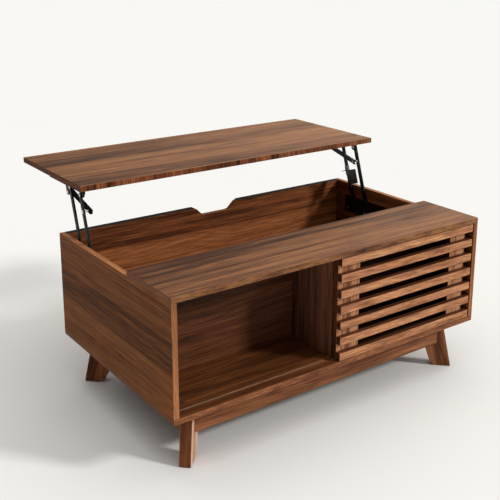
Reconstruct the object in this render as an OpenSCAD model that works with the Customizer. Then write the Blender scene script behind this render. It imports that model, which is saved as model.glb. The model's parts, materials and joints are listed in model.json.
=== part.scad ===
// Lift top coffee table.
// A low cabinet stands on four splayed legs. A fixed board covers the front of it, over an open
// shelf and a sliding slatted door. Behind that board is a storage well, and its lid rises level
// on two parallelogram linkages, up and towards the rear, where the sitter is.
// X is to the right, Y to the rear and Z up. The origin is on the floor, in the middle of the
// space that the table takes with its lid raised. The lid is drawn raised.

/* [Cabinet] */
// Width of the cabinet, side to side
body_w = 1000; // [800:10:1300]
// Depth of the cabinet, front to rear
body_d = 600; // [570:10:800]
// Clear height inside, between the bottom board and the top board
inner_h = 282; // [240:2:380]
// Thickness of every cabinet board
board_t = 15; // [12:1:18]
// Depth of the fixed top board over the front compartments
strip_d = 207.5; // [190:0.5:230]
// How far the partition reaches behind the fixed top board, as a ledge for the lid
ledge = 5; // [3:0.5:8]
// How far the divider stands from the middle of the cabinet, to the right
divider_x = 0; // [-40:5:40]
// Radius of a cam cap on the bottom board
cap_r = 5; // [4:0.5:8]
// Thickness of a cam cap
cap_t = 0.8; // [0.5:0.1:1]
// Distance of a cam cap from the side panel
cap_from_wall = 42; // [20:1:60]
// Distance of a cam cap from the front and from the rear of the cabinet
cap_from_front = 55; // [45:1:70]

/* [Lid] */
// Thickness of the lid
lid_t = 15; // [12:1:22]
// Gap between the lid and the fixed top board
lid_gap = 1.5; // [1:0.5:4]
// Height of the closed lid above the side panels
rest_gap = 0.5; // [0.4:0.1:2]
// How far the lid rises
lift_rise = 150; // [130:5:160]
// How far the lid travels to the rear
lift_back = 235; // [215:5:240]

/* [Finger dip] */
// Width of the flat bottom of the dip in the back panel
dip_flat_w = 81; // [50:1:150]
// Width of each curved shoulder of the dip
dip_shoulder_w = 39; // [20:1:60]
// Depth of the dip
dip_h = 25; // [15:1:40]
// Thickness of the soft strip on top of the back panel
bumper_t = 2; // [1:0.5:4]

/* [Legs] */
// Height from the floor to the underside of the bottom board
leg_h = 140; // [110:5:200]
// Thickness of a leg board
leg_t = 30; // [22:1:36]
// Width of a leg at the foot
leg_foot_w = 56; // [40:1:64]
// Width of a leg at the top
leg_top_w = 74; // [60:1:90]
// How far the outer edge of a leg leans out over its height
leg_splay = 29; // [10:1:36]
// Radius of the rounded inner corner of the foot
leg_round = 22; // [8:1:26]
// Distance of the foot from the side of the cabinet
leg_inset_x = 44.5; // [35:0.5:60]
// Distance of the foot from the front of the cabinet
leg_inset_y = 31.5; // [25:0.5:50]
// Radius of the nail-on glide under a foot
glide_r = 10; // [6:1:12]
// Thickness of the glide
glide_t = 1.5; // [1:0.5:4]

/* [Aprons] */
// Height of the apron boards
apron_h = 70; // [50:1:90]
// Thickness of the apron boards
apron_t = 18; // [12:1:22]
// Distance of the front and rear aprons from the cabinet's faces
apron_inset_y = 50; // [40:1:60]
// Distance of the side aprons from the cabinet's sides
apron_inset_x = 59; // [50:1:70]

/* [Sliding door] */
// Height of one slat
slat_h = 21.5; // [18:0.5:24]
// Thickness of a slat
slat_t = 15; // [10:1:18]
// Thickness of a stile behind the slats
stile_t = 15; // [10:1:18]
// Width of the left stile
stile_left_w = 75; // [50:1:90]
// Width of the right stile
stile_right_w = 60; // [40:1:80]
// How far the slats run past the right stile
slat_overhang = 14; // [5:1:20]
// Gap between the door and the boards round it
door_gap = 1; // [0.5:0.5:2]
// Gap between the door and a side panel, at either end of its travel
door_end_gap = 4; // [2:1:8]
// How far the slats pass the divider on the other bay's side
door_lap = 6; // [2:1:7]
// Width of the door's guide track
track_w = 5; // [4.6:0.2:6]
// Depth of the guide track
track_h = 4; // [3:0.5:5]
// Thickness of a guide fin
fin_t = 1.6; // [1.2:0.2:2]
// Length of a guide fin
fin_l = 40; // [20:5:50]
// Height of the part of a guide fin that is fixed to the stile
fin_hold_h = 18; // [12:1:24]
// Gap on each side of a guide fin in its track
fin_gap = 0.5; // [0.4:0.1:0.8]
// Floor of the guide track
track_floor_t = 1; // [0.8:0.1:1.2]
// Gap between the track and the divider
divider_gap = 0.5; // [0.2:0.1:5]

/* [Lift mechanism] */
// Width of an arm
arm_w = 12; // [10:1:13]
// Thickness of an arm
arm_t = 5; // [3:0.5:6]
// Lean of the raised arms, from the rear horizontal, in degrees
arm_lean = 72; // [70:1:78]
// Distance between the front and the rear arm's pivots, along the depth
pivot_spacing = 62.5; // [56:0.5:72]
// Height of the rear arm's pivots above the front arm's
pivot_step = 6.5; // [6:0.5:9]
// Distance of the front arm's lid pivot below the lid
pivot_drop = 21.5; // [19:0.5:26]
// Distance of the front arm's base pivot from the rear of the cabinet
pivot_from_back = 160; // [150:1:175]
// Radius of the pivot rivets
pin_r = 3; // [2.5:0.25:3.5]
// Running clearance between a rivet and its bore
pin_clear = 0.05; // [0.02:0.01:0.1]
// Radius of a rivet head
head_r = 5; // [4.5:0.25:5.5]
// Thickness of a rivet head
head_t = 1; // [0.6:0.1:1]
// Thickness of the base bracket
plate_t = 2; // [1.5:0.25:3]
// Thickness of the lid bracket
bracket_t = 2.5; // [1.5:0.25:3]
// Height of the lid bracket's upright leg
bracket_h = 20; // [18:0.5:24]
// Width of the flange that is screwed to the lid
flange_w = 13; // [11:0.5:13.5]
// Gap between the base bracket and the arms
base_side_gap = 1.5; // [1.3:0.1:2]
// Gap between the arms and the lid bracket
lid_side_gap = 3; // [2.8:0.1:4]
// Radius of the lobe of metal round a pivot
lobe_r = 9; // [7:0.5:10]
// Radius of the screw heads
screw_r = 4; // [3:0.25:4.5]
// Height of the screw heads
screw_t = 1; // [0.6:0.1:1.2]
// Distance of the outer screws from the ends of their bracket
screw_edge = 12; // [8:1:16]
// Outer radius of the bushes between the arms and the brackets
bush_r = 5.5; // [4.5:0.25:6]
// Gap between a bush and its arm
bush_gap = 0.3; // [0.1:0.1:0.5]
// Gap between a rivet head and the part that turns under it
head_gap = 0.005; // [0.005:0.005:0.02]
// Length of the base bracket in front of the front pivot
base_plate_front = 90; // [60:1:110]
// Length of the base bracket behind the rear pivot
base_plate_rear = 38; // [20:1:60]
// Depth of the base bracket below the front pivot
base_plate_down = 52; // [30:1:80]
// Height of the base bracket above the front pivot
base_plate_up = 2; // [0:0.5:5]
// Length of the lid bracket in front of the front pivot
bracket_front = 13; // [11:1:30]
// Length of the lid bracket behind the front pivot
bracket_rear = 214; // [150:1:240]

/* [Stay] */
// Height of the stay's channel
stay_h = 12; // [9:0.5:13]
// Depth of the stay's channel, side to side
stay_depth = 8; // [6:0.5:10]
// Wall of the stay's channel
stay_wall = 1.5; // [1:0.25:2]
// Distance of the stud from the lid pivot, along the front arm
stud_from_lid = 45; // [40:1:50]
// Distance of the stay's pivot behind the front arm's lid pivot
stay_pivot_back = 94; // [90:0.5:110]
// Distance of the stay's pivot below the front arm's lid pivot
stay_pivot_down = 15.5; // [14:0.5:22]
// Distance from the stay to the lid bracket
stay_side_gap = 6; // [5:0.5:12]
// How far the stay runs past its pivot and past the stud
stay_end = 10; // [8:0.5:12]
// Gap between the stud and the stay's channel
stud_clear = 0.6; // [0.4:0.1:1]
// Width of the lug that carries the stay's pivot, at its root
lug_w = 24; // [18:1:40]
// Radius of the lug's end
lug_r = 8; // [6:0.5:9]

/* [Stop] */
// Distance of the stop's sleeve from the base pivot, along the right rear arm
sleeve_from_base = 70; // [66:1:90]
// Length of the sleeve
sleeve_l = 31; // [20:1:34]
// Wall of the sleeve
sleeve_wall = 1.2; // [1.1:0.1:1.3]
// Reach of the stop plate from the arm's middle
stop_reach = 44; // [28:1:46]
// Length of the stop plate along the arm
stop_l = 47; // [30:1:50]
// Thickness of the stop plate
stop_t = 1.3; // [1:0.1:1.6]
// Width of the stop plate's seam on the sleeve
stop_seam = 2.5; // [1.5:0.5:4]
// Length of the release pin
release_l = 20; // [10:1:22]
// Radius of the release pin
release_r = 1.2; // [0.8:0.1:1.5]

/* [Hidden] */

$fn = 48;
slat_n = 7;
lid_screw_n = 5;
arc_steps = 10;
walnut = [0.42, 0.26, 0.16];
walnut_light = [0.55, 0.36, 0.23];
black_steel = [0.08, 0.08, 0.08];
nylon = [0.9, 0.88, 0.84];
zinc = [0.7, 0.7, 0.72];

// Cabinet levels
front_y = -(body_d + lift_back) / 2;
back_y = front_y + body_d;
mid_y = front_y + body_d / 2;
floor_z = leg_h + board_t;
top_z = floor_z + inner_h;
wall_x = body_w / 2 - board_t;
strip_back_y = front_y + strip_d;
partition_y = strip_back_y + ledge - board_t;
well_y = partition_y + board_t;
back_inner_y = back_y - board_t;
panel_gap = 0.2;

// Lid, closed and raised
lid_closed_y = strip_back_y + lid_gap;
lid_d = back_y - lid_closed_y;
lid_y = lid_closed_y + lift_back;
lid_z = top_z + rest_gap + lift_rise;

// Door
door_left = divider_x - door_lap;
door_right = wall_x - door_end_gap;
door_w = door_right - door_left;
door_h = inner_h - 2 * door_gap;
door_z = floor_z + door_gap;
slat_pitch = (door_h - slat_h) / (slat_n - 1);
stile_y = front_y + slat_t;
stile_back_y = stile_y + stile_t;
slot_w = fin_t + 2 * fin_gap;
track_y = stile_back_y + fin_t / 2 - track_w / 2;
divider_y = track_y + track_w + divider_gap;

// Linkage, in side view: [y, z] of each pivot with the lid raised
arm_len = (lift_rise * lift_rise + lift_back * lift_back)
    / (2 * (lift_back * cos(arm_lean) + lift_rise * sin(arm_lean)));
along = [cos(arm_lean), sin(arm_lean)];
across = [-sin(arm_lean), cos(arm_lean)];
step_back = [pivot_spacing, pivot_step];
base_front = [back_y - pivot_from_back, lid_z - pivot_drop - arm_len * sin(arm_lean)];
base_rear = base_front + step_back;
lid_front = base_front + arm_len * along;
lid_rear = lid_front + step_back;
stud = lid_front - stud_from_lid * along;
stay_pivot = lid_front + [stay_pivot_back, -stay_pivot_down];
stay_vec = stud - stay_pivot;
stay_l = norm(stay_vec);
stay_angle = atan2(stay_vec[1], stay_vec[0]);

// Linkage, side to side: the inner face of each layer on the right
plate_x = wall_x - plate_t;
arm_x = plate_x - base_side_gap - arm_t;
leg_x = arm_x - lid_side_gap - bracket_t;
stay_x = leg_x - stay_side_gap - stay_depth;
base_plate_l = base_plate_front + pivot_spacing + base_plate_rear;
bracket_l = bracket_front + bracket_rear;

// Draws a profile given in [y, z] as a plate from x, t thick
module side_plate(x, t) {
    translate([x, 0, 0])
        rotate([90, 0, 90])
            linear_extrude(t)
                children();
}

// A rod along X from x1 to x2 through the side-view point p
module cross_rod(p, x1, x2, r) {
    translate([x1, p[0], p[1]])
        rotate([0, 90, 0])
            cylinder(h = x2 - x1, r = r);
}

// A ring along X from x1 to x2 round the side-view point p
module cross_ring(p, x1, x2, r, hole) {
    difference() {
        cross_rod(p, x1, x2, r);
        cross_rod(p, x1 - 1, x2 + 1, hole);
    }
}

// Children on the right, and mirrored to the left
module both_sides() {
    children();
    mirror([1, 0, 0])
        children();
}

// A board with its lowest corner at p
module board(p, size, c = walnut) {
    color(c)
        translate(p)
            cube(size);
}

module bottom_panel() {
    color(walnut)
        difference() {
            translate([-body_w / 2, front_y, leg_h])
                cube([body_w, body_d, board_t]);
            translate([-wall_x, track_y - panel_gap, floor_z - track_h - panel_gap])
                cube([2 * wall_x, track_w + 2 * panel_gap, track_h + 1]);
        }
}

module side_panel(x) {
    board([x, front_y, floor_z], [board_t, body_d, inner_h]);
}

// The dip's left shoulder runs down on half a cosine wave
function shoulder(k) = [
    -dip_flat_w / 2 - dip_shoulder_w * (1 - k),
    -dip_h * (1 - cos(180 * k)) / 2];

module back_panel() {
    panel_top = inner_h - bumper_t;
    left = [for (i = [0 : arc_steps]) shoulder(i / arc_steps)];
    right = [for (i = [arc_steps : -1 : 0]) [-left[i][0], left[i][1]]];
    dip = [for (p = concat(left, right)) [p[0], p[1] + panel_top]];
    outline = concat([[-wall_x, 0], [-wall_x, panel_top]], dip, [[wall_x, panel_top], [wall_x, 0]]);
    color(walnut)
        translate([0, back_y, floor_z])
            rotate([90, 0, 0])
                linear_extrude(board_t)
                    polygon(outline);
}

module bumper_strips() {
    edge = dip_flat_w / 2 + dip_shoulder_w;
    color(black_steel)
        both_sides()
            translate([edge, back_inner_y, top_z - bumper_t])
                cube([wall_x - edge, board_t, bumper_t]);
}

module partition() {
    board([-wall_x, partition_y, floor_z], [2 * wall_x, board_t, inner_h]);
}

module divider() {
    board([divider_x - board_t / 2, divider_y, floor_z],
        [board_t, partition_y - divider_y, inner_h]);
}

module front_top() {
    color(walnut)
        difference() {
            translate([-body_w / 2, front_y, top_z])
                cube([body_w, strip_d, board_t]);
            translate([-wall_x, track_y - panel_gap, top_z - 1])
                cube([2 * wall_x, track_w + 2 * panel_gap, track_h + panel_gap + 1]);
        }
}

module cam_caps() {
    color(zinc)
        both_sides()
            for (y = [front_y + cap_from_front, back_y - cap_from_front])
                translate([wall_x - cap_from_wall, y, floor_z])
                    cylinder(h = cap_t, r = cap_r);
}

// A channel along X that a door's guide fins slide in; up is 1 for the floor, -1 for the top
module door_track(z, up) {
    color(zinc)
        translate([0, track_y + track_w / 2, z])
            scale([1, 1, up])
                translate([0, 0, -track_h])
                    difference() {
                        translate([-wall_x + panel_gap, -track_w / 2, 0])
                            cube([2 * (wall_x - panel_gap), track_w, track_h]);
                        translate([-wall_x, -slot_w / 2, track_floor_t])
                            cube([2 * wall_x, slot_w, track_h]);
                    }
}

// Legs: flat boards set across the corners, in their own frame. The first axis runs inwards
// from the foot's outer edge, and the second one up.
lean_in = leg_splay + leg_top_w - leg_foot_w;
inner_slope = atan2(leg_h, lean_in);
round_cut = leg_round / tan((180 - inner_slope) / 2);
round_centre = [leg_foot_w - round_cut, glide_t + leg_round];
leg_outline = concat([[0, glide_t], [leg_splay, leg_h], [leg_splay + leg_top_w, leg_h]],
    [for (i = [0 : arc_steps]) let (a = (inner_slope - 90) - inner_slope * i / arc_steps)
        round_centre + leg_round * [cos(a), sin(a)]]);

// Places its children in a leg's frame; sx and sy are the signs of the corner
module at_leg(sx, sy) {
    translate([sx * (body_w / 2 - leg_inset_x), mid_y + sy * (body_d / 2 - leg_inset_y), 0])
        rotate([0, 0, atan2(-sy, -sx)])
            children();
}

module leg(sx, sy) {
    color(walnut_light)
        at_leg(sx, sy)
            translate([0, leg_t / 2, 0])
                rotate([90, 0, 0])
                    linear_extrude(leg_t)
                        polygon(leg_outline);
}

module foot_glides() {
    color(nylon)
        for (sx = [-1, 1], sy = [-1, 1])
            at_leg(sx, sy)
                translate([round_centre[0] / 2, 0, 0])
                    cylinder(h = glide_t, r = glide_r);
}

// Aprons stop at the legs' broad faces, with mitred ends. Their half length shrinks as they
// stand further in.
leg_face = leg_t * sqrt(2) / 2 + panel_gap;
function half_x(inset) = body_w / 2 - leg_inset_x - (inset - leg_inset_y) - leg_face;
function half_y(inset) = body_d / 2 - leg_inset_y - (inset - leg_inset_x) - leg_face;

module apron_along_x(s) {
    near = apron_inset_y;
    far = apron_inset_y + apron_t;
    color(walnut)
        translate([0, mid_y, leg_h - apron_h])
            scale([1, s, 1])
                translate([0, body_d / 2, 0])
                    linear_extrude(apron_h)
                        polygon([[-half_x(near), -near], [half_x(near), -near],
                            [half_x(far), -far], [-half_x(far), -far]]);
}

module apron_along_y(s) {
    near = apron_inset_x;
    far = apron_inset_x + apron_t;
    color(walnut)
        translate([0, mid_y, leg_h - apron_h])
            scale([s, 1, 1])
                translate([body_w / 2, 0, 0])
                    linear_extrude(apron_h)
                        polygon([[-near, -half_y(near)], [-near, half_y(near)],
                            [-far, half_y(far)], [-far, -half_y(far)]]);
}

// Door: slats in front, two stiles behind them, guide fins at the stiles' ends
module slat(n) {
    board([door_left, front_y, door_z + (n - 1) * slat_pitch], [door_w, slat_t, slat_h], walnut_light);
}

module stile_left() {
    board([door_left, stile_y, door_z], [stile_left_w, stile_t, door_h], walnut_light);
}

module stile_right() {
    board([door_right - slat_overhang - stile_right_w, stile_y, door_z],
        [stile_right_w, stile_t, door_h], walnut_light);
}

module door_guides() {
    reach = track_h - track_floor_t - fin_gap;
    low = floor_z - reach;
    high = top_z + reach - fin_hold_h;
    left_mid = door_left + stile_left_w / 2;
    right_mid = door_right - slat_overhang - stile_right_w / 2;
    color(nylon)
        for (x = [left_mid, right_mid], z = [low, high])
            translate([x - fin_l / 2, stile_back_y, z])
                cube([fin_l, fin_t, fin_hold_h]);
}

// Lift mechanism, drawn for the right side
module base_bracket() {
    color(black_steel)
        side_plate(plate_x, plate_t)
            difference() {
                union() {
                    translate([base_front[0] - base_plate_front, base_front[1] - base_plate_down])
                        square([base_plate_l, base_plate_down + base_plate_up]);
                    translate(base_front)
                        circle(lobe_r);
                    translate(base_rear)
                        circle(lobe_r);
                }
                for (p = [base_front, base_rear])
                    translate(p)
                        circle(pin_r + pin_clear);
            }
}

// A flat bar with round ends and a bore in each, from the side-view point p along the lean
module arm(p) {
    color(black_steel)
        side_plate(arm_x, arm_t)
            translate(p)
                rotate(arm_lean)
                    difference() {
                        union() {
                            translate([0, -arm_w / 2])
                                square([arm_len, arm_w]);
                            circle(arm_w / 2);
                            translate([arm_len, 0])
                                circle(arm_w / 2);
                        }
                        circle(pin_r + pin_clear);
                        translate([arm_len, 0])
                            circle(pin_r + pin_clear);
                    }
}

module base_rivets() {
    color(zinc)
        both_sides()
            for (p = [base_front, base_rear]) {
                cross_rod(p, arm_x - head_t, wall_x, pin_r);
                cross_rod(p, arm_x - head_t, arm_x - head_gap, head_r);
            }
}

module base_bushes() {
    color(nylon)
        both_sides()
            for (p = [base_front, base_rear])
                cross_ring(p, arm_x + arm_t + bush_gap, plate_x, bush_r, pin_r + pin_clear);
}

module base_screws() {
    corner = base_front - [base_plate_front, base_plate_down];
    color(zinc)
        both_sides()
            for (y = [screw_edge, base_plate_l / 2, base_plate_l - screw_edge])
                cross_rod(corner + [y, screw_edge], plate_x - screw_t, plate_x, screw_r);
}

module lid_bracket() {
    start = lid_front[0] - bracket_front;
    low = lid_z - bracket_h;
    color(black_steel)
        difference() {
            union() {
                side_plate(leg_x, bracket_t) {
                    translate([start, low])
                        square([bracket_l, bracket_h]);
                    for (p = [lid_front, lid_rear])
                        translate(p)
                            circle(lobe_r);
                    translate(stay_pivot)
                        circle(lug_r);
                    polygon([stay_pivot - [lug_r, 0], stay_pivot + [lug_r, 0],
                        [stay_pivot[0] + lug_w / 2, low + 1], [stay_pivot[0] - lug_w / 2, low + 1]]);
                }
                translate([leg_x, start, lid_z - bracket_t])
                    cube([flange_w, bracket_l, bracket_t]);
            }
            for (p = [lid_front, lid_rear, stay_pivot])
                cross_rod(p, leg_x - 1, leg_x + bracket_t + 1, pin_r + pin_clear);
        }
}

module lid_rivets() {
    outer = arm_x + arm_t;
    color(nylon)
        both_sides()
            for (p = [lid_front, lid_rear]) {
                cross_rod(p, leg_x - head_t, outer + head_t, pin_r);
                cross_rod(p, leg_x - head_t, leg_x, head_r);
                cross_rod(p, outer + head_gap, outer + head_t, head_r);
            }
}

module lid_bushes() {
    color(nylon)
        both_sides()
            for (p = [lid_front, lid_rear])
                cross_ring(p, leg_x + bracket_t, arm_x - bush_gap, bush_r, pin_r + pin_clear);
}

module lid_screws() {
    x = leg_x + bracket_t + (flange_w - bracket_t) / 2;
    first = lid_front[0] - bracket_front + screw_edge;
    pitch = (bracket_l - 2 * screw_edge) / (lid_screw_n - 1);
    color(zinc)
        both_sides()
            for (i = [0 : lid_screw_n - 1])
                translate([x, first + i * pitch, lid_z - bracket_t - screw_t])
                    cylinder(h = screw_t, r = screw_r);
}

module stay_studs() {
    color(nylon)
        both_sides() {
            cross_rod(stud, stay_x + stay_depth + stud_clear, arm_x, pin_r);
            cross_rod(stud, arm_x + arm_t, arm_x + arm_t + head_t, head_r);
        }
}

module stay_pins() {
    outer = leg_x + bracket_t;
    color(nylon)
        both_sides() {
            cross_rod(stay_pivot, stay_x - head_t, outer + head_t, pin_r);
            cross_rod(stay_pivot, outer, outer + head_t, head_r);
            cross_rod(stay_pivot, stay_x - head_t, stay_x - head_gap, head_r);
        }
}

// A channel that is open towards the arms
module stay() {
    length = stay_l + 2 * stay_end;
    color(black_steel)
        difference() {
            side_plate(stay_x, stay_depth)
                translate(stay_pivot)
                    rotate(stay_angle)
                        translate([-stay_end, -stay_h / 2])
                            square([length, stay_h]);
            side_plate(stay_x + stay_wall, stay_depth)
                translate(stay_pivot)
                    rotate(stay_angle)
                        translate([-stay_end - 1, -stay_h / 2 + stay_wall])
                            square([length + 2, stay_h - 2 * stay_wall]);
            cross_rod(stay_pivot, stay_x - 1, stay_x + stay_wall + 1, pin_r + pin_clear);
        }
}

module stay_buttons() {
    color(nylon)
        both_sides()
            cross_rod(stud, stay_x - head_t, stay_x, head_r);
}

// Stop on the right rear arm: a sleeve round the arm, a plate and a release pin
module stop_frame() {
    translate([0, base_rear[0], base_rear[1]])
        rotate([arm_lean, 0, 0])
            children();
}

module stop_sleeve() {
    w = arm_w / 2 + sleeve_wall;
    color(nylon)
        stop_frame()
            difference() {
                translate([arm_x - sleeve_wall, sleeve_from_base, -w])
                    cube([arm_t + 2 * sleeve_wall, sleeve_l, 2 * w]);
                translate([arm_x, sleeve_from_base - 1, -arm_w / 2])
                    cube([arm_t, sleeve_l + 2, arm_w]);
            }
}

module stop_plate() {
    seam = arm_w / 2 + sleeve_wall - stop_seam;
    color(black_steel)
        stop_frame()
            translate([arm_x - sleeve_wall - stop_t, sleeve_from_base + sleeve_l / 2 - stop_l,
                    seam])
                cube([stop_t, stop_l, stop_reach - seam]);
}

module release_pin() {
    color(black_steel)
        stop_frame()
            translate([arm_x - sleeve_wall - release_l, sleeve_from_base + sleeve_l / 2, 0])
                rotate([0, 90, 0])
                    cylinder(h = release_l, r = release_r);
}

module lid_panel() {
    board([-body_w / 2, lid_y, lid_z], [body_w, lid_d, lid_t]);
}

bottom_panel();
side_panel(-body_w / 2);  // side_panel_left
side_panel(wall_x);  // side_panel_right
back_panel();
partition();
divider();
front_top();
bumper_strips();
cam_caps();
door_track(floor_z, 1);  // door_track_bottom
door_track(top_z, -1);  // door_track_top
leg(-1, -1);  // leg_front_left
leg(1, -1);  // leg_front_right
leg(-1, 1);  // leg_rear_left
leg(1, 1);  // leg_rear_right
foot_glides();
apron_along_x(-1);  // apron_front
apron_along_x(1);  // apron_rear
apron_along_y(-1);  // apron_left
apron_along_y(1);  // apron_right
mirror([1, 0, 0]) base_bracket();  // base_bracket_left
base_bracket();  // base_bracket_right
base_rivets();
base_bushes();
base_screws();
mirror([1, 0, 0]) arm(base_front);  // front_arm_left
arm(base_front);  // front_arm_right
stay_studs();
mirror([1, 0, 0]) arm(base_rear);  // rear_arm_left
arm(base_rear);  // rear_arm_right
stop_sleeve();
stop_plate();
release_pin();
lid_panel();
mirror([1, 0, 0]) lid_bracket();  // lid_bracket_left
lid_bracket();  // lid_bracket_right
lid_rivets();
lid_bushes();
lid_screws();
stay_pins();
mirror([1, 0, 0]) stay();  // stay_left
stay();  // stay_right
stay_buttons();
slat(1);  // slat_1
slat(2);  // slat_2
slat(3);  // slat_3
slat(4);  // slat_4
slat(5);  // slat_5
slat(6);  // slat_6
slat(7);  // slat_7
stile_left();
stile_right();
door_guides();
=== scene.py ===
# %% [markdown]
# # A lift top coffee table
#
# The table's shape, joints and sizes come from its CAD model. This lesson gives that model its
# looks: rounded board edges, walnut with grain that runs the right way on every face, black
# steel, rivets and screws. It ends with a floor, light and a camera.
#
# Everything is in metres. X runs along the front to the right, Y to the rear and Z up.

# %% Load the CAD model
import json
import math

import bmesh
import bpy
from mathutils import Matrix, Vector


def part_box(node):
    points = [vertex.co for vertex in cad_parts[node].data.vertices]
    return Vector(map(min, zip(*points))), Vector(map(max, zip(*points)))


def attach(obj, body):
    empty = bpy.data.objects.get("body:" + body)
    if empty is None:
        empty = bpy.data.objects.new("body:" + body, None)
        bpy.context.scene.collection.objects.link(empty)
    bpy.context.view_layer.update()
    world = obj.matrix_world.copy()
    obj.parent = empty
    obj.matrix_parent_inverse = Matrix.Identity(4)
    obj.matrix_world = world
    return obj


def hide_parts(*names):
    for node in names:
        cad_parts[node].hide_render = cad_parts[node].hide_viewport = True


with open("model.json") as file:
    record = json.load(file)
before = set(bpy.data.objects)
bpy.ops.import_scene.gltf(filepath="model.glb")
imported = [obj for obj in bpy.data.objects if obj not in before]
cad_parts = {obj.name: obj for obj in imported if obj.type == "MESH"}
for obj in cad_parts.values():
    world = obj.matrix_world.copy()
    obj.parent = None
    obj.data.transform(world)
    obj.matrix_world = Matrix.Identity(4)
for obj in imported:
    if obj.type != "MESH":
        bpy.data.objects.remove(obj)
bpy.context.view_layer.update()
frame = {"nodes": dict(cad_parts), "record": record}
body_of_node = {n: b for b, ns in frame["record"]["behaviour"]["bodies"].items() for n in ns}

# %% [markdown]
# ## Nodes without clutter
#
# A material is a small graph. Adding each node by hand takes five lines, so a few helpers keep
# the recipes readable. They make a node and fill its sockets, do arithmetic, make a colour
# ramp, and start a material. Colours are written as a painter sees them, from 0 to 255, and
# turned into the linear light that Blender counts in.

# %% Helpers for materials
def paint(r, g, b):
    def linear(c):
        return c / 255 / 12.92 if c <= 10 else ((c / 255 + 0.055) / 1.055) ** 2.4

    return (linear(r), linear(g), linear(b), 1.0)


def add(mat, kind, inputs=None, **settings):
    node = mat.node_tree.nodes.new("ShaderNode" + kind)
    for key, value in settings.items():
        setattr(node, key, value)
    for key, value in (inputs or {}).items():
        if isinstance(value, bpy.types.NodeSocket):
            mat.node_tree.links.new(value, node.inputs[key])
        else:
            node.inputs[key].default_value = value
    return node


def count(mat, operation, a, b=0.0, c=0.0):
    return add(mat, "Math", {0: a, 1: b, 2: c}, operation=operation).outputs[0]


def ramp(mat, fac, stops):
    node = add(mat, "ValToRGB", {"Fac": fac})
    line = node.color_ramp
    while len(line.elements) < len(stops):
        line.elements.new(0.5)
    for element, (place, colour) in zip(line.elements, stops):
        element.position = place
        element.color = colour if len(colour) == 4 else (*colour, 1)
    return node.outputs["Color"]


def blank(name):
    mat = bpy.data.materials.new(name)
    mat.use_nodes = True
    mat.node_tree.nodes.clear()
    out = add(mat, "OutputMaterial")
    shader = add(mat, "BsdfPrincipled")
    mat.node_tree.links.new(shader.outputs[0], out.inputs["Surface"])
    return mat, shader


def plug(mat, shader, key, socket):
    mat.node_tree.links.new(socket, shader.inputs[key])


print("helpers ready")

# %% [markdown]
# ## Walnut
#
# The boards are chipboard under a printed walnut foil, and the print shows planks of different
# tone laid side by side. Real walnut has five things to see: broad darker heartwood streaks,
# growth lines that bend into arches, fine fibre, darker flecks, and short dark pores. The lines
# are a sine wave that a noise texture bends, and each of the others is a noise texture of its
# own. Noise gets long when its coordinate along the fibres grows slowly and the crosswise ones
# grow fast, so every layer has its own pair of such factors. The axes are chosen per material,
# so the same recipe runs along X, Y or Z.
#
# A plank is found by rounding the crosswise coordinate down, and a random number for each plank
# shifts its figure and its tone. An image of wood would show its repeats, and this never does.
#
# What the settings mean: `planks` is a plank's width in metres, `arch` how strong the growth
# lines are, `streak` how sharp the heartwood is, `local` where in the noise the board was cut,
# `lean` turns the fibres, `short` makes the figure shorter, and `painted_light_drift` paints
# light: it makes the board lighter towards one end, as a lamp near that end would.

# %% The layers of the figure
# How fast each layer's noise runs along the fibres and across them, per metre
HEARTWOOD = (2.2, 46)
BENDS = (1.5, 7)
FIBRE = (8, 260)
FLECKS = (5, 120)
PORES = (18, 420)
# Growth lines per metre, as the sine's angle, and how far the bends push them
LINES, PUSH = 520, 90.0
print("growth lines every", round(math.tau / LINES * 1000, 1), "mm")

# %% [markdown]
# ## The layers put together
#
# On the real board all the layers lie in one print. Here the heartwood noise picks the colour
# and the other layers darken it in turn, so that every layer keeps a strength of its own. The
# fibres also drive the roughness and a very small relief, so that a low light finds the grain
# as it does on a textured foil.

# %% The walnut recipe
def wood_axes(mat, fibres, plank_axis, lean):
    """The coordinates along the fibres, across the planks and into the board"""
    spot = add(mat, "TexCoord").outputs["Object"]
    if lean:
        spot = add(mat, "Mapping", {"Vector": spot, "Rotation": (0, -lean, 0)}).outputs[0]
    axes = dict(zip("XYZ", add(mat, "SeparateXYZ", {0: spot}).outputs))
    cross = [a for a in "XYZ" if a != fibres]
    wide = plank_axis or cross[0]
    deep = [a for a in cross if a != wide][0]
    return axes[fibres], axes[wide], axes[deep]


def over(mat, value, low, high):
    return add(mat, "MapRange", {"Value": value, "From Min": low, "From Max": high}).outputs[0]


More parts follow.
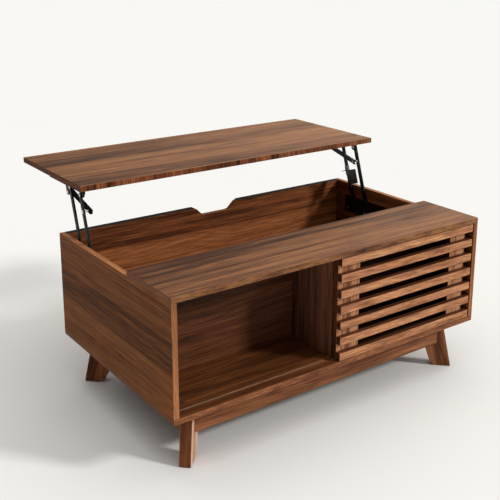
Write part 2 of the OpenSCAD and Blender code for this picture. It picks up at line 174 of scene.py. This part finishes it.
def walnut(name, fibres, tones, planks=None, plank_axis=None, arch=0.5, streak=1.0, gloss=0.46,
           local=0.0, shine=0.1, lean=0.0, short=1.0, painted_light_drift=0.0):
    mat, shader = blank(name)
    start, across, depth = wood_axes(mat, fibres, plank_axis, lean)
    along, tone = start, None
    if planks:
        number = count(mat, "FLOOR", count(mat, "MULTIPLY_ADD", across, 1 / planks, 0.31 + local))
        tone = add(mat, "TexWhiteNoise", {"W": number}, noise_dimensions="1D").outputs["Value"]
        along = count(mat, "MULTIPLY_ADD", tone, 7.0, start)

    def grain(layer, **inputs):
        stretch, squeeze = layer
        spot = add(mat, "CombineXYZ", {
            0: count(mat, "MULTIPLY_ADD", along, stretch * short, local),
            1: count(mat, "MULTIPLY", across, squeeze),
            2: count(mat, "MULTIPLY", depth, squeeze)}).outputs[0]
        return add(mat, "TexNoise", {"Vector": spot, "Scale": 1.0, **inputs}).outputs["Fac"]

    broad = grain(HEARTWOOD, Detail=5.0, Roughness=0.7, Distortion=0.2)
    bend = grain(BENDS, Detail=2.0, Roughness=0.5)
    angle = count(mat, "MULTIPLY_ADD", bend, PUSH, count(mat, "MULTIPLY", across, LINES))
    lines = count(mat, "MULTIPLY_ADD", count(mat, "SINE", angle), 0.5, 0.5)
    lines = count(mat, "POWER", lines, 1.8)
    fibre = grain(FIBRE, Detail=4.0, Roughness=0.78)
    flecks = over(mat, grain(FLECKS, Detail=3.0, Roughness=0.65), 0.54, 0.7)
    pores = over(mat, grain(PORES, Detail=2.0), 0.57, 0.68)

    heart = over(mat, broad, 0.5 - 0.2 / streak, 0.5 + 0.2 / streak)
    if planks:
        heart = count(mat, "ADD", heart, count(mat, "MULTIPLY_ADD", tone, 0.6, -0.3))
    # Lighter towards one end along the fibres: painted light, as from a lamp near that end
    if painted_light_drift:
        heart = count(mat, "MULTIPLY_ADD", start, painted_light_drift, heart)
    base = ramp(mat, heart, [(0.0, tones[0]), (0.42, tones[1]), (1.0, tones[2])])
    shade = count(mat, "MULTIPLY_ADD", lines, -0.38 * arch, 1.0 + 0.15 * arch)
    for layer, strength, rest in ((fibre, 2.5, -0.23), (flecks, -0.3, 1.06), (pores, -0.34, 1.05)):
        shade = count(mat, "MULTIPLY", shade, count(mat, "MULTIPLY_ADD", layer, strength, rest))
    grey = add(mat, "CombineColor", {0: shade, 1: shade, 2: shade}).outputs[0]
    dimmed = add(mat, "Mix", {6: base, 7: grey}, data_type="RGBA", blend_type="MULTIPLY")
    dimmed.inputs[0].default_value = 1.0
    plug(mat, shader, "Base Color", dimmed.outputs[2])
    plug(mat, shader, "Roughness", count(mat, "MULTIPLY_ADD", fibre, 0.16, gloss - 0.06))
    relief = count(mat, "MULTIPLY_ADD", pores, -0.7, fibre)
    bump = add(mat, "Bump", {"Strength": 0.16, "Distance": 0.0004, "Height": relief})
    plug(mat, shader, "Normal", bump.outputs[0])
    shader.inputs["Specular IOR Level"].default_value = shine
    return mat


print("walnut recipe ready")

# %% [markdown]
# ## The walnut finishes
#
# A foil covers the wide faces, in a tone that differs from board to board. The narrow faces
# have an edge band of their own. Most of it is lighter, with its fibres along the edge, but the
# lid's long edges show short upright fibres and its ends are dark. Each tone is three colours:
# the heartwood streaks, the common wood and the pale sapwood. Each name says where it goes.
# Some tones are darker or lighter copies that paint shade or light, as the comment at each says.

# %% Walnut for each kind of face
TOP = [paint(64, 38, 24), paint(112, 73, 45), paint(142, 98, 61)]
SIDE = [paint(70, 39, 20), paint(101, 59, 30), paint(122, 75, 40)]
TAN = [paint(100, 58, 35), paint(144, 92, 57), paint(172, 120, 78)]
# Dark walnut. On the slats' ends, upper and lower faces, the stiles' sides and the divider's front
# edge it is painted shade
DARK = [paint(42, 23, 15), paint(78, 45, 29), paint(102, 62, 38)]
# Near black walnut for the bay behind the door: painted shade
NIGHT_PAINTED_SHADE = [paint(26, 15, 10), paint(46, 28, 19), paint(62, 39, 27)]
WELL = [paint(78, 41, 23), paint(128, 75, 43), paint(154, 94, 55)]
LEGS = [paint(60, 29, 13), paint(104, 57, 31), paint(134, 82, 50)]
# Much lighter leg walnut for the front left leg's broad faces: painted sunlight
PALE_PAINTED_LIGHT = [paint(150, 107, 80), paint(186, 146, 118), paint(208, 174, 146)]
APRON = [paint(78, 44, 26), paint(118, 72, 44), paint(140, 92, 60)]
SLAT = [paint(104, 63, 40), paint(160, 107, 73), paint(188, 137, 97)]
# Slat walnut made a little lighter for the stiles: painted light, lifting them out of the shade
# between the slats
STILE = [paint(112, 70, 46), paint(166, 112, 78), paint(192, 140, 100)]
WALL = [paint(56, 33, 25), paint(104, 66, 50), paint(138, 92, 66)]
# Lighter leg walnut for the front right leg's broad faces: painted light
FOOT_PAINTED_LIGHT = [paint(88, 48, 28), paint(146, 92, 60), paint(178, 121, 82)]

LEG_LEAN = math.radians(15)

wood = {
    # The tops grow lighter towards the right end: painted light, as from a lamp at the right
    "top": walnut("walnut_top", "X", TOP, planks=0.074, plank_axis="Y", arch=0.35, local=0.2,
                  shine=0.11, painted_light_drift=0.4),
    "side": walnut("walnut_side", "Y", SIDE, planks=0.082, plank_axis="Z", arch=0.5, local=0.5,
                   shine=0.03),
    "inner": walnut("walnut_inner", "X", DARK, planks=0.11, plank_axis="Z", arch=0.7, local=0.8),
    "inner_shade": walnut("walnut_inner_dark", "X", NIGHT_PAINTED_SHADE, planks=0.11, plank_axis="Z", arch=0.7),
    "well": walnut("walnut_well", "X", WELL, planks=0.11, plank_axis="Z", arch=0.6, local=0.4),
    "shelf": walnut("walnut_shelf", "X", SIDE, planks=0.11, plank_axis="Y", arch=0.4, local=0.1),
    # The stiles' sides: dark walnut as painted shade
    "upright": walnut("walnut_stile_side_shade", "Z", DARK, planks=0.06, plank_axis="Y", arch=0.4,
                      local=0.6),
    "wall": walnut("walnut_wall", "Z", WALL, planks=0.06, plank_axis="Y", arch=0.4, local=0.6),
    "apron": walnut("walnut_apron", "X", APRON, arch=0.6, local=0.3, streak=1.4),
    "apron_side": walnut("walnut_apron_side", "Y", APRON, arch=0.6, local=0.3, streak=1.4),
    "front_x": walnut("edge_front_x", "X", TOP, plank_axis="Z", arch=0.3, local=0.6, short=4.0,
                      gloss=0.5),
    "base_x": walnut("edge_base_x", "X", APRON, plank_axis="Z", arch=0.5, local=0.3, short=4.0,
                     gloss=0.5),
    "band_x": walnut("edge_band_x", "X", TAN, plank_axis="Z", arch=0.3, local=0.4, gloss=0.5),
    "band_y": walnut("edge_band_y", "Y", TAN, plank_axis="X", arch=0.3, local=0.7, gloss=0.5),
    "band_z": walnut("edge_band_z", "Z", TAN, plank_axis="X", arch=0.3, local=0.9, gloss=0.5),
    "band_side": walnut("edge_band_side", "Y", SIDE, plank_axis="Z", arch=0.3, local=0.2),
    "lid_side": walnut("edge_lid_side", "Y", DARK, plank_axis="Z", arch=0.3, local=0.2, shine=0.03),
    "band_short": walnut("edge_band_short", "Z", LEGS, planks=0.028, plank_axis="X", arch=0.9),
    "slat": walnut("walnut_slat", "X", SLAT, plank_axis="Z", arch=0.4, local=0.5, short=2.5),
    # The slats' ends and their upper and lower faces: dark walnut as painted shade
    "slat_end_shade": walnut("walnut_slat_end", "Y", DARK, plank_axis="Z", arch=0.4, local=0.1),
    "slat_top_shade": walnut("walnut_slat_top", "X", DARK, plank_axis="Y", arch=0.3, local=0.2),
    "stile": walnut("walnut_stile", "Z", STILE, planks=0.03, plank_axis="X", arch=0.5, local=0.3),
    "leg": walnut("walnut_leg", "Z", LEGS, planks=0.036, plank_axis="X", arch=0.4, local=0.6,
                  lean=LEG_LEAN),
    "leg_painted_light": walnut("walnut_leg_light", "Z", FOOT_PAINTED_LIGHT, planks=0.036, plank_axis="X", arch=0.5,
                        local=0.3, lean=LEG_LEAN),
    "leg_painted_sunlit": walnut("walnut_leg_pale", "Z", PALE_PAINTED_LIGHT, planks=0.036, plank_axis="X", arch=0.6,
                       local=0.1, lean=LEG_LEAN),
    "leg_edge": walnut("walnut_leg_edge", "Z", LEGS, plank_axis="Y", arch=0.4, local=0.2,
                       lean=LEG_LEAN),
}
print(len(wood), "walnut materials")

# %% [markdown]
# ## Rounded edges
#
# No saw leaves a perfectly sharp edge: the edge band is scraped to a small radius, and that
# radius catches the light as a thin line round every board. So each board is a copy of its CAD
# solid. Its triangles are first dissolved back into flat faces, then only the edges that stick
# out are bevelled, which keeps the board inside its CAD size. The copy takes the CAD node's
# place and rides on the same body. Weighted normals keep the wide faces flat in the shading.

# %% Copy a CAD solid with rounded edges
BOARD_EDGE, STILE_EDGE, LEG_EDGE = 0.0008, 0.0006, 0.0016
FLAT = math.radians(1)
SHARP = math.radians(25)
WELD = 1e-6


def rounded(node, radius, segments=2, space=None):
    bm = bmesh.new()
    bm.from_mesh(frame["nodes"][node].data)
    bmesh.ops.remove_doubles(bm, verts=bm.verts, dist=WELD)
    bmesh.ops.dissolve_limit(bm, angle_limit=FLAT, verts=bm.verts, edges=bm.edges)
    if space:
        bm.transform(space.inverted())
    edges = [e for e in bm.edges if len(e.link_faces) == 2 and e.is_convex
             and e.calc_face_angle() > SHARP]
    bmesh.ops.bevel(bm, geom=edges, offset=radius, offset_type="OFFSET", segments=segments,
                    profile=0.5, affect="EDGES", clamp_overlap=True)
    bm.normal_update()
    return place(bm, "show_" + node, node, space)


def place(bm, name, node, space=None):
    mesh = bpy.data.meshes.new(name)
    bm.to_mesh(mesh)
    bm.free()
    for face in mesh.polygons:
        face.use_smooth = True
    piece = bpy.data.objects.new(name, mesh)
    bpy.context.scene.collection.objects.link(piece)
    piece.matrix_world = space or Matrix.Identity(4)
    piece.modifiers.new("flat_faces", "WEIGHTED_NORMAL")
    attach(piece, body_of_node[node])
    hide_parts(node)
    return piece


def face_finishes(piece, x, y, z):
    for mat in (x, y, z):
        piece.data.materials.append(mat)
    for face in piece.data.polygons:
        n = [abs(c) for c in face.normal]
        face.material_index = n.index(max(n))
    return piece


print("rounding ready")

# %% [markdown]
# ## The cabinet's boards
#
# The boards are 15 mm thick and the aprons under them 18 mm. The table says which finish each
# face gets: first the faces that look left and right, then front and rear, then up and down.
# One material for a whole board would run its grain straight into the ends, so every face takes
# its finish by the way it looks.

# %% Boards
BOARDS = {
    "bottom_panel": ("band_side", "base_x", "shelf"),
    "side_panel_left": ("side", "band_z", "band_y"),
    "side_panel_right": ("side", "band_z", "band_y"),
    "back_panel": ("band_z", "well", "band_x"),
    "partition": ("band_z", "inner", "band_x"),
    # The divider's edges take the dark end finish: painted shade
    "divider": ("wall", "slat_end_shade", "shelf"),
    "front_top": ("band_side", "front_x", "top"),
    "lid_panel": ("lid_side", "band_short", "top"),
    "apron_front": ("apron", "apron", "band_x"),
    "apron_rear": ("apron", "apron", "band_x"),
    "apron_left": ("apron_side", "apron_side", "band_y"),
    "apron_right": ("apron_side", "apron_side", "band_y"),
}
boards = {}
for node, finishes in BOARDS.items():
    boards[node] = face_finishes(rounded(node, BOARD_EDGE), *(wood[f] for f in finishes))
print(len(boards), "boards with rounded edges")

# %% [markdown]
# ## Inside, in the shade
#
# The bay behind the door gets a near black walnut, which is painted shade, so the gaps between the
# slats read as deep shade.
# A board's mesh is cut where the rooms change, and the faces of one room get their own
# material. Cutting adds edges but moves nothing.

# %% Painted shade for the bay inside
def room_finish(piece, finish, low, high):
    mesh = piece.data
    bm = bmesh.new()
    bm.from_mesh(mesh)
    for axis in range(3):
        for at in (low[axis], high[axis]):
            spot, way = [0, 0, 0], [0, 0, 0]
            spot[axis], way[axis] = at, 1
            bmesh.ops.bisect_plane(bm, geom=bm.verts[:] + bm.edges[:] + bm.faces[:],
                                   plane_co=spot, plane_no=way)
    index = len(mesh.materials)
    mesh.materials.append(finish)
    found = 0
    for face in bm.faces:
        c = face.calc_center_median()
        if all(low[i] < c[i] < high[i] for i in range(3)):
            face.material_index = index
            found += 1
    bm.to_mesh(mesh)
    bm.free()
    return found


floor_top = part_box("bottom_panel")[1].z
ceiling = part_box("front_top")[0].z
behind_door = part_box("stile_left")[1].y
# The cuts lie a little inside the boards, so that the boards' own faces count as the bay's
INSIDE, PAST_MIDDLE = 0.001, 0.008
painted_shade_bay = (Vector((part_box("divider")[0].x + PAST_MIDDLE, behind_door, floor_top - INSIDE)),
          Vector((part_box("side_panel_right")[0].x + INSIDE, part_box("partition")[0].y + INSIDE,
                  ceiling + INSIDE)))
# The faces in the door's bay take the near black walnut: painted shade
for node in ("partition", "bottom_panel", "front_top", "divider", "side_panel_right"):
    print(node, room_finish(boards[node], wood["inner_shade"], *painted_shade_bay), "faces in the door's bay")

# %% [markdown]
# ## The sliding door
#
# Seven slats are glued across two stiles. One board with slots would be quicker, but the slats'
# ends reach past the stiles, so each is a piece of its own. The cut ends, the upper and lower
# faces and the stiles' sides take a dark walnut: painted shade, for faces that turn away from the
# light or lie deep between the slats. The stiles show short upright fibres between the slats.

# %% Slats and stiles
SLATS = 7
for number in range(1, SLATS + 1):
    face_finishes(rounded(f"slat_{number}", BOARD_EDGE),
                  wood["slat_end_shade"], wood["slat"], wood["slat_top_shade"])
for side in ("left", "right"):
    face_finishes(rounded("stile_" + side, STILE_EDGE),
                  wood["upright"], wood["stile"], wood["band_x"])

# %% [markdown]
# ## The legs
#
# A leg is a flat board glued up from strips, standing across the corner and leaning out. Each
# leg gets an origin at its foot and axes of its own, with X running inwards, so that one
# material fits all four. The lean is left to the material, which turns its grain by that angle.
# The broad faces of the two front legs get lighter copies of the leg walnut: painted light, the
# glow that sun and sky alone don't give them.

# %% Legs in their own axes
# The front legs' broad faces take lighter walnut: painted light
PAINTED_LIGHT_LEG_FACES = {"leg_front_left": "leg_painted_sunlit", "leg_front_right": "leg_painted_light"}
for node, turn in (("leg_front_left", 45), ("leg_front_right", 135),
                   ("leg_rear_left", -45), ("leg_rear_right", -135)):
    low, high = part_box(node)
    foot_x = low.x if "left" in node else high.x
    foot_y = low.y if "front" in node else high.y
    space = Matrix.Translation((foot_x, foot_y, 0)) @ Matrix.Rotation(math.radians(turn), 4, "Z")
    broad = wood[PAINTED_LIGHT_LEG_FACES.get(node, "leg")]
    face_finishes(rounded(node, LEG_EDGE, 3, space), wood["leg_edge"], broad, wood["leg_edge"])
    print(node, "stands at", round(foot_x, 3), round(foot_y, 3))

# %% [markdown]
# ## Steel, nylon, rubber and aluminium
#
# The linkage has a black powder coat: dark, half glossy, with the fine orange peel that such
# paint dries to. The lid's rivet heads are white and the screws are zinc plated. Nylon is smooth
# and soft, and the foam strip has a matt skin. Each gets a fine noise for its relief and a
# wide one for its colour and its roughness.

# %% A recipe for the small parts
def plain(name, colour, rough, metal=0.0, speck=2400, relief=0.1, vary=0.12, drawn=None, shine=0.5):
    mat, shader = blank(name)
    spot = add(mat, "TexCoord").outputs["Object"]
    if drawn:
        spot = add(mat, "Mapping", {"Vector": spot, "Scale": drawn}).outputs[0]
    fine = add(mat, "TexNoise", {"Vector": spot, "Scale": speck, "Detail": 2.0}).outputs["Fac"]
    wide = add(mat, "TexNoise", {"Vector": spot, "Scale": speck / 30, "Detail": 3.0}).outputs["Fac"]
    dark = tuple(c * (1 - vary) for c in colour[:3])
    pale = tuple(min(1, c * (1 + vary)) for c in colour[:3])
    plug(mat, shader, "Base Color", ramp(mat, wide, [(0.3, dark), (0.7, pale)]))
    plug(mat, shader, "Roughness", count(mat, "MULTIPLY_ADD", wide, 0.2, rough - 0.1))
    bump = add(mat, "Bump", {"Strength": relief, "Distance": 0.0002, "Height": fine})
    plug(mat, shader, "Normal", bump.outputs[0])
    shader.inputs["Metallic"].default_value = metal
    shader.inputs["Specular IOR Level"].default_value = shine
    return mat


black_coat = plain("black_powder_coat", paint(9, 8, 8), 0.45, speck=1500, relief=0.25, shine=0.15)
stop_coat = plain("stop_plate_coat", paint(52, 46, 40), 0.5, speck=1500, relief=0.25)
rivet_white = plain("rivet_heads", paint(214, 206, 194), 0.4)
zinc = plain("zinc_plating", paint(150, 150, 152), 0.35, metal=1.0, speck=1800)
nylon = plain("grey_nylon", paint(150, 152, 154), 0.5)
sleeve_grey = plain("sleeve_grey", paint(90, 98, 108), 0.42)
foam = plain("foam_strip", paint(16, 20, 26), 0.8, speck=3500, relief=0.5)
aluminium = plain("track_aluminium", paint(150, 122, 98), 0.45, metal=1.0, drawn=(0.02, 1, 1))
print("small materials ready")

# %% [markdown]
# ## The linkage, its rivets and the small trim
#
# These keep their CAD shapes. Flat bars get a small stamped edge, and rivet heads a larger one
# in more steps, so that they read as domes.

# %% Small parts
SMALL = [
    (0.0007, black_coat, ["front_arm_left", "front_arm_right", "rear_arm_left", "rear_arm_right"]),
    (0.0004, black_coat, ["base_bracket_left", "base_bracket_right", "lid_bracket_left",
                          "lid_bracket_right", "stay_left", "stay_right", "release_pin"]),
    (0.00035, stop_coat, ["stop_plate"]),
    (0.0006, rivet_white, ["lid_rivets", "stay_studs", "stay_pins", "stay_buttons"]),
    (0.00062, black_coat, ["base_rivets"]),
    (0.0003, nylon, ["base_bushes", "lid_bushes", "door_guides"]),
    (0.0005, nylon, ["foot_glides"]),
    (0.00045, sleeve_grey, ["stop_sleeve"]),
    (0.00055, foam, ["bumper_strips"]),
    (0.0002, aluminium, ["door_track_bottom", "door_track_top"]),
    (0.00025, zinc, ["cam_caps"]),
]
for radius, mat, nodes in SMALL:
    for node in nodes:
        rounded(node, radius, 3).data.materials.append(mat)
print(sum(len(nodes) for _, _, nodes in SMALL), "small nodes dressed")

# %% [markdown]
# ## Screws
#
# A pan head screw has a cross pressed into it. The CAD has only discs there, so each disc is
# found in the mesh, and a head with a real cross is built in its place: rings of points for
# the rounded head, and a boolean cut for the cross.

# %% Find the discs
def loose_parts(node):
    bm = bmesh.new()
    bm.from_mesh(frame["nodes"][node].data)
    bmesh.ops.remove_doubles(bm, verts=bm.verts, dist=WELD)
    left, parts = set(bm.verts), []
    while left:
        stack, part = [left.pop()], []
        while stack:
            vert = stack.pop()
            part.append(vert.co.copy())
            for edge in vert.link_edges:
                other = edge.other_vert(vert)
                if other in left:
                    left.remove(other)
                    stack.append(other)
        parts.append([Vector(map(min, *part)), Vector(map(max, *part))])
    bm.free()
    return parts


print("base screws:", len(loose_parts("base_screws")), "discs")

# %% [markdown]
# ## One screw head
#
# A real head is pressed cold and its cross is punched in. A picture of a cross on a disc would
# look flat from the side. So rings of points give the rounded shape, and a boolean cut with two
# crossed bars gives a recess that holds a shadow.

# %% Build a head with a cross
# The pan head's outline, as shares of its radius and its height, from the rim to the top
PAN = [(1.0, 0.0), (1.0, 0.25), (0.93, 0.55), (0.76, 0.85), (0.5, 0.98), (0.3, 1.0)]
STEPS = 32
CROSS = ((1.1, 0.26, 1.3), (0.26, 1.1, 1.3))


def screw_head(radius, height):
    bm = bmesh.new()
    loops = [[bm.verts.new((radius * r * math.cos(2 * math.pi * i / STEPS),
                            radius * r * math.sin(2 * math.pi * i / STEPS), height * h))
              for i in range(STEPS)] for r, h in PAN]
    for a, b in zip(loops, loops[1:]):
        for i in range(STEPS):
            bm.faces.new((a[i], a[(i + 1) % STEPS], b[(i + 1) % STEPS], b[i]))
    bm.faces.new(loops[-1])
    bm.faces.new(loops[0][::-1])
    head = bpy.data.meshes.new("head")
    bm.to_mesh(head)
    bm.clear()
    for size in CROSS:
        scale = Matrix.Diagonal((radius * size[0], radius * size[1], height * size[2], 1))
        bmesh.ops.create_cube(bm, size=1, matrix=Matrix.Translation((0, 0, height)) @ scale)
    cross = bpy.data.meshes.new("cross")
    bm.to_mesh(cross)
    bm.free()
    objects = [bpy.data.objects.new("screw_tool", m) for m in (head, cross)]
    for o in objects:
        bpy.context.scene.collection.objects.link(o)
    cut = objects[0].modifiers.new("cross", "BOOLEAN")
    cut.object, cut.operation, cut.solver, cut.use_self = objects[1], "DIFFERENCE", "EXACT", True
    bpy.context.view_layer.update()
    done = bpy.data.meshes.new_from_object(
        objects[0].evaluated_get(bpy.context.evaluated_depsgraph_get()))
    for o in objects:
        bpy.data.objects.remove(o)
    return done


print("head outline of", len(PAN), "rings")

# %% [markdown]
# ## A head on every disc
#
# Each head faces out of its bracket and stops at an angle of its own, because nobody lines up
# screws by hand. The heads of one node are joined in one object, which rides the node's body.

# %% Put the heads in place
# Each screw stops at an angle of its own, which grows with its place along the depth
TURN_PER_METRE = 40


def screws(node, facing):
    bm = bmesh.new()
    for low, high in loose_parts(node):
        size, centre = high - low, (low + high) / 2
        axis = [abs(c) for c in facing].index(1)
        radius, height = max(size) / 2, size[axis]
        out = Vector(facing) * (-1 if centre.x > 0 and axis == 0 else 1)
        base = centre - out * height / 2
        upright = out.to_track_quat("Z", "Y").to_matrix().to_4x4()
        turn = upright @ Matrix.Rotation(base.y * TURN_PER_METRE, 4, "Z")
        head = screw_head(radius, height)
        head.transform(Matrix.Translation(base) @ turn)
        bm.from_mesh(head)
    piece = place(bm, "show_" + node, node)
    piece.data.materials.append(zinc)
    return piece


for node, facing in (("base_screws", (1, 0, 0)), ("lid_screws", (0, 0, -1))):
    print(node, len(screws(node, facing).data.polygons), "faces")

# %% [markdown]
# ## Floor
#
# The floor is one large plane in pale matt paint, wide enough for its edge to lie near the
# horizon. It isn't part of the table, so it rides none of the table's bodies.

# %% Floor
floor_mat = plain("pale_floor", (0.76, 0.76, 0.748), 0.75, speck=60, relief=0.02, vary=0.004,
                  shine=0.0)
bm = bmesh.new()
FLOOR_HALF = 20
bmesh.ops.create_grid(bm, x_segments=2, y_segments=2, size=FLOOR_HALF)
floor_mesh = bpy.data.meshes.new("floor")
bm.to_mesh(floor_mesh)
bm.free()
floor = bpy.data.objects.new("floor", floor_mesh)
floor_mesh.materials.append(floor_mat)
bpy.context.scene.collection.objects.link(floor)
print("floor", floor.dimensions[:2])

# %% [markdown]
# ## Light
#
# One lamp does the work: a sun low at the front right, wide enough for soft shadow edges. It
# leaves the left side in shade and throws the shadow to the rear left.
#
# The sky fills the rest, as a studio's big lamps do. It is brightest overhead, which keeps the
# shade under the table deep but not black. A second bright patch at the rear right lies where
# the tops mirror it, and lays a faint sheen on them. The camera sees one plain pale tone
# instead of that sky, so a low view keeps a calm background.

# %% Sun and sky
SUN_FROM = Vector((0.557, -0.652, 0.515))
REAR_RIGHT = (0.85, 0.45, 0.2)
SKY = (1.0, 0.99, 0.965, 1)
BACKDROP = (0.905, 0.896, 0.863, 1)
sun_data = bpy.data.lights.new("sun", "SUN")
sun_data.energy = 2.1
sun_data.angle = math.radians(9)
sun_data.color = (1.0, 0.985, 0.96)
sun = bpy.data.objects.new("sun", sun_data)
sun.rotation_mode = "QUATERNION"
sun.rotation_quaternion = SUN_FROM.to_track_quat("Z", "Y")
bpy.context.scene.collection.objects.link(sun)

world = bpy.data.worlds.new("studio")
world.use_nodes = True
tree = world.node_tree
tree.nodes.clear()
sky = tree.nodes.new("ShaderNodeBackground")
sky.inputs["Color"].default_value = SKY
way = tree.nodes.new("ShaderNodeTexCoord")


def lobe(towards, sharp, strength, rest):
    """Brightness that peaks in one direction and falls off as the cosine to a power"""
    dot = tree.nodes.new("ShaderNodeVectorMath")
    dot.operation = "DOT_PRODUCT"
    dot.inputs[1].default_value = Vector(towards).normalized()
    tree.links.new(way.outputs["Generated"], dot.inputs[0])
    last = dot.outputs["Value"]
    for operation, value in (("MAXIMUM", 0.0), ("POWER", sharp), ("MULTIPLY", strength)):
        step = tree.nodes.new("ShaderNodeMath")
        step.operation = operation
        step.inputs[1].default_value = value
        tree.links.new(last, step.inputs[0])
        last = step.outputs[0]
    add_up = tree.nodes.new("ShaderNodeMath")
    tree.links.new(last, add_up.inputs[0])
    if isinstance(rest, float):
        add_up.inputs[1].default_value = rest
    else:
        tree.links.new(rest, add_up.inputs[1])
    return add_up.outputs[0]


overhead = lobe((0, 0, 1), 4.0, 2.05, 0.15)
tree.links.new(lobe(REAR_RIGHT, 8.0, 1.3, overhead), sky.inputs["Strength"])
seen = tree.nodes.new("ShaderNodeBackground")
seen.inputs["Color"].default_value = BACKDROP
ray = tree.nodes.new("ShaderNodeLightPath")
mix = tree.nodes.new("ShaderNodeMixShader")
out = tree.nodes.new("ShaderNodeOutputWorld")
tree.links.new(ray.outputs["Is Camera Ray"], mix.inputs[0])
tree.links.new(sky.outputs[0], mix.inputs[1])
tree.links.new(seen.outputs[0], mix.inputs[2])
tree.links.new(mix.outputs[0], out.inputs["Surface"])
bpy.context.scene.world = world
bpy.context.scene.view_settings.view_transform = "Standard"
print("sun from", [round(c, 3) for c in SUN_FROM])

# %% [markdown]
# ## Camera
#
# The camera stands at the front left, well above the lid, and looks down with a longish lens.
# A small shift keeps the table's uprights closer to parallel, as an architect's lens does.

# %% Camera
CAMERA_AT = Vector((-1.3735, -1.9445, 1.1913))
YAW, PITCH = math.radians(35.38), math.radians(14.46)
camera_data = bpy.data.cameras.new("camera")
camera_data.lens = 62.31
camera_data.sensor_width = 36
camera_data.shift_y = -0.16
camera = bpy.data.objects.new("camera", camera_data)
look = Vector((math.sin(YAW) * math.cos(PITCH), math.cos(YAW) * math.cos(PITCH), -math.sin(PITCH)))
camera.location = CAMERA_AT
camera.rotation_mode = "QUATERNION"
camera.rotation_quaternion = look.to_track_quat("-Z", "Y")
bpy.context.scene.collection.objects.link(camera)
bpy.context.scene.camera = camera
print("camera", [round(c, 3) for c in CAMERA_AT], "lens", camera_data.lens)
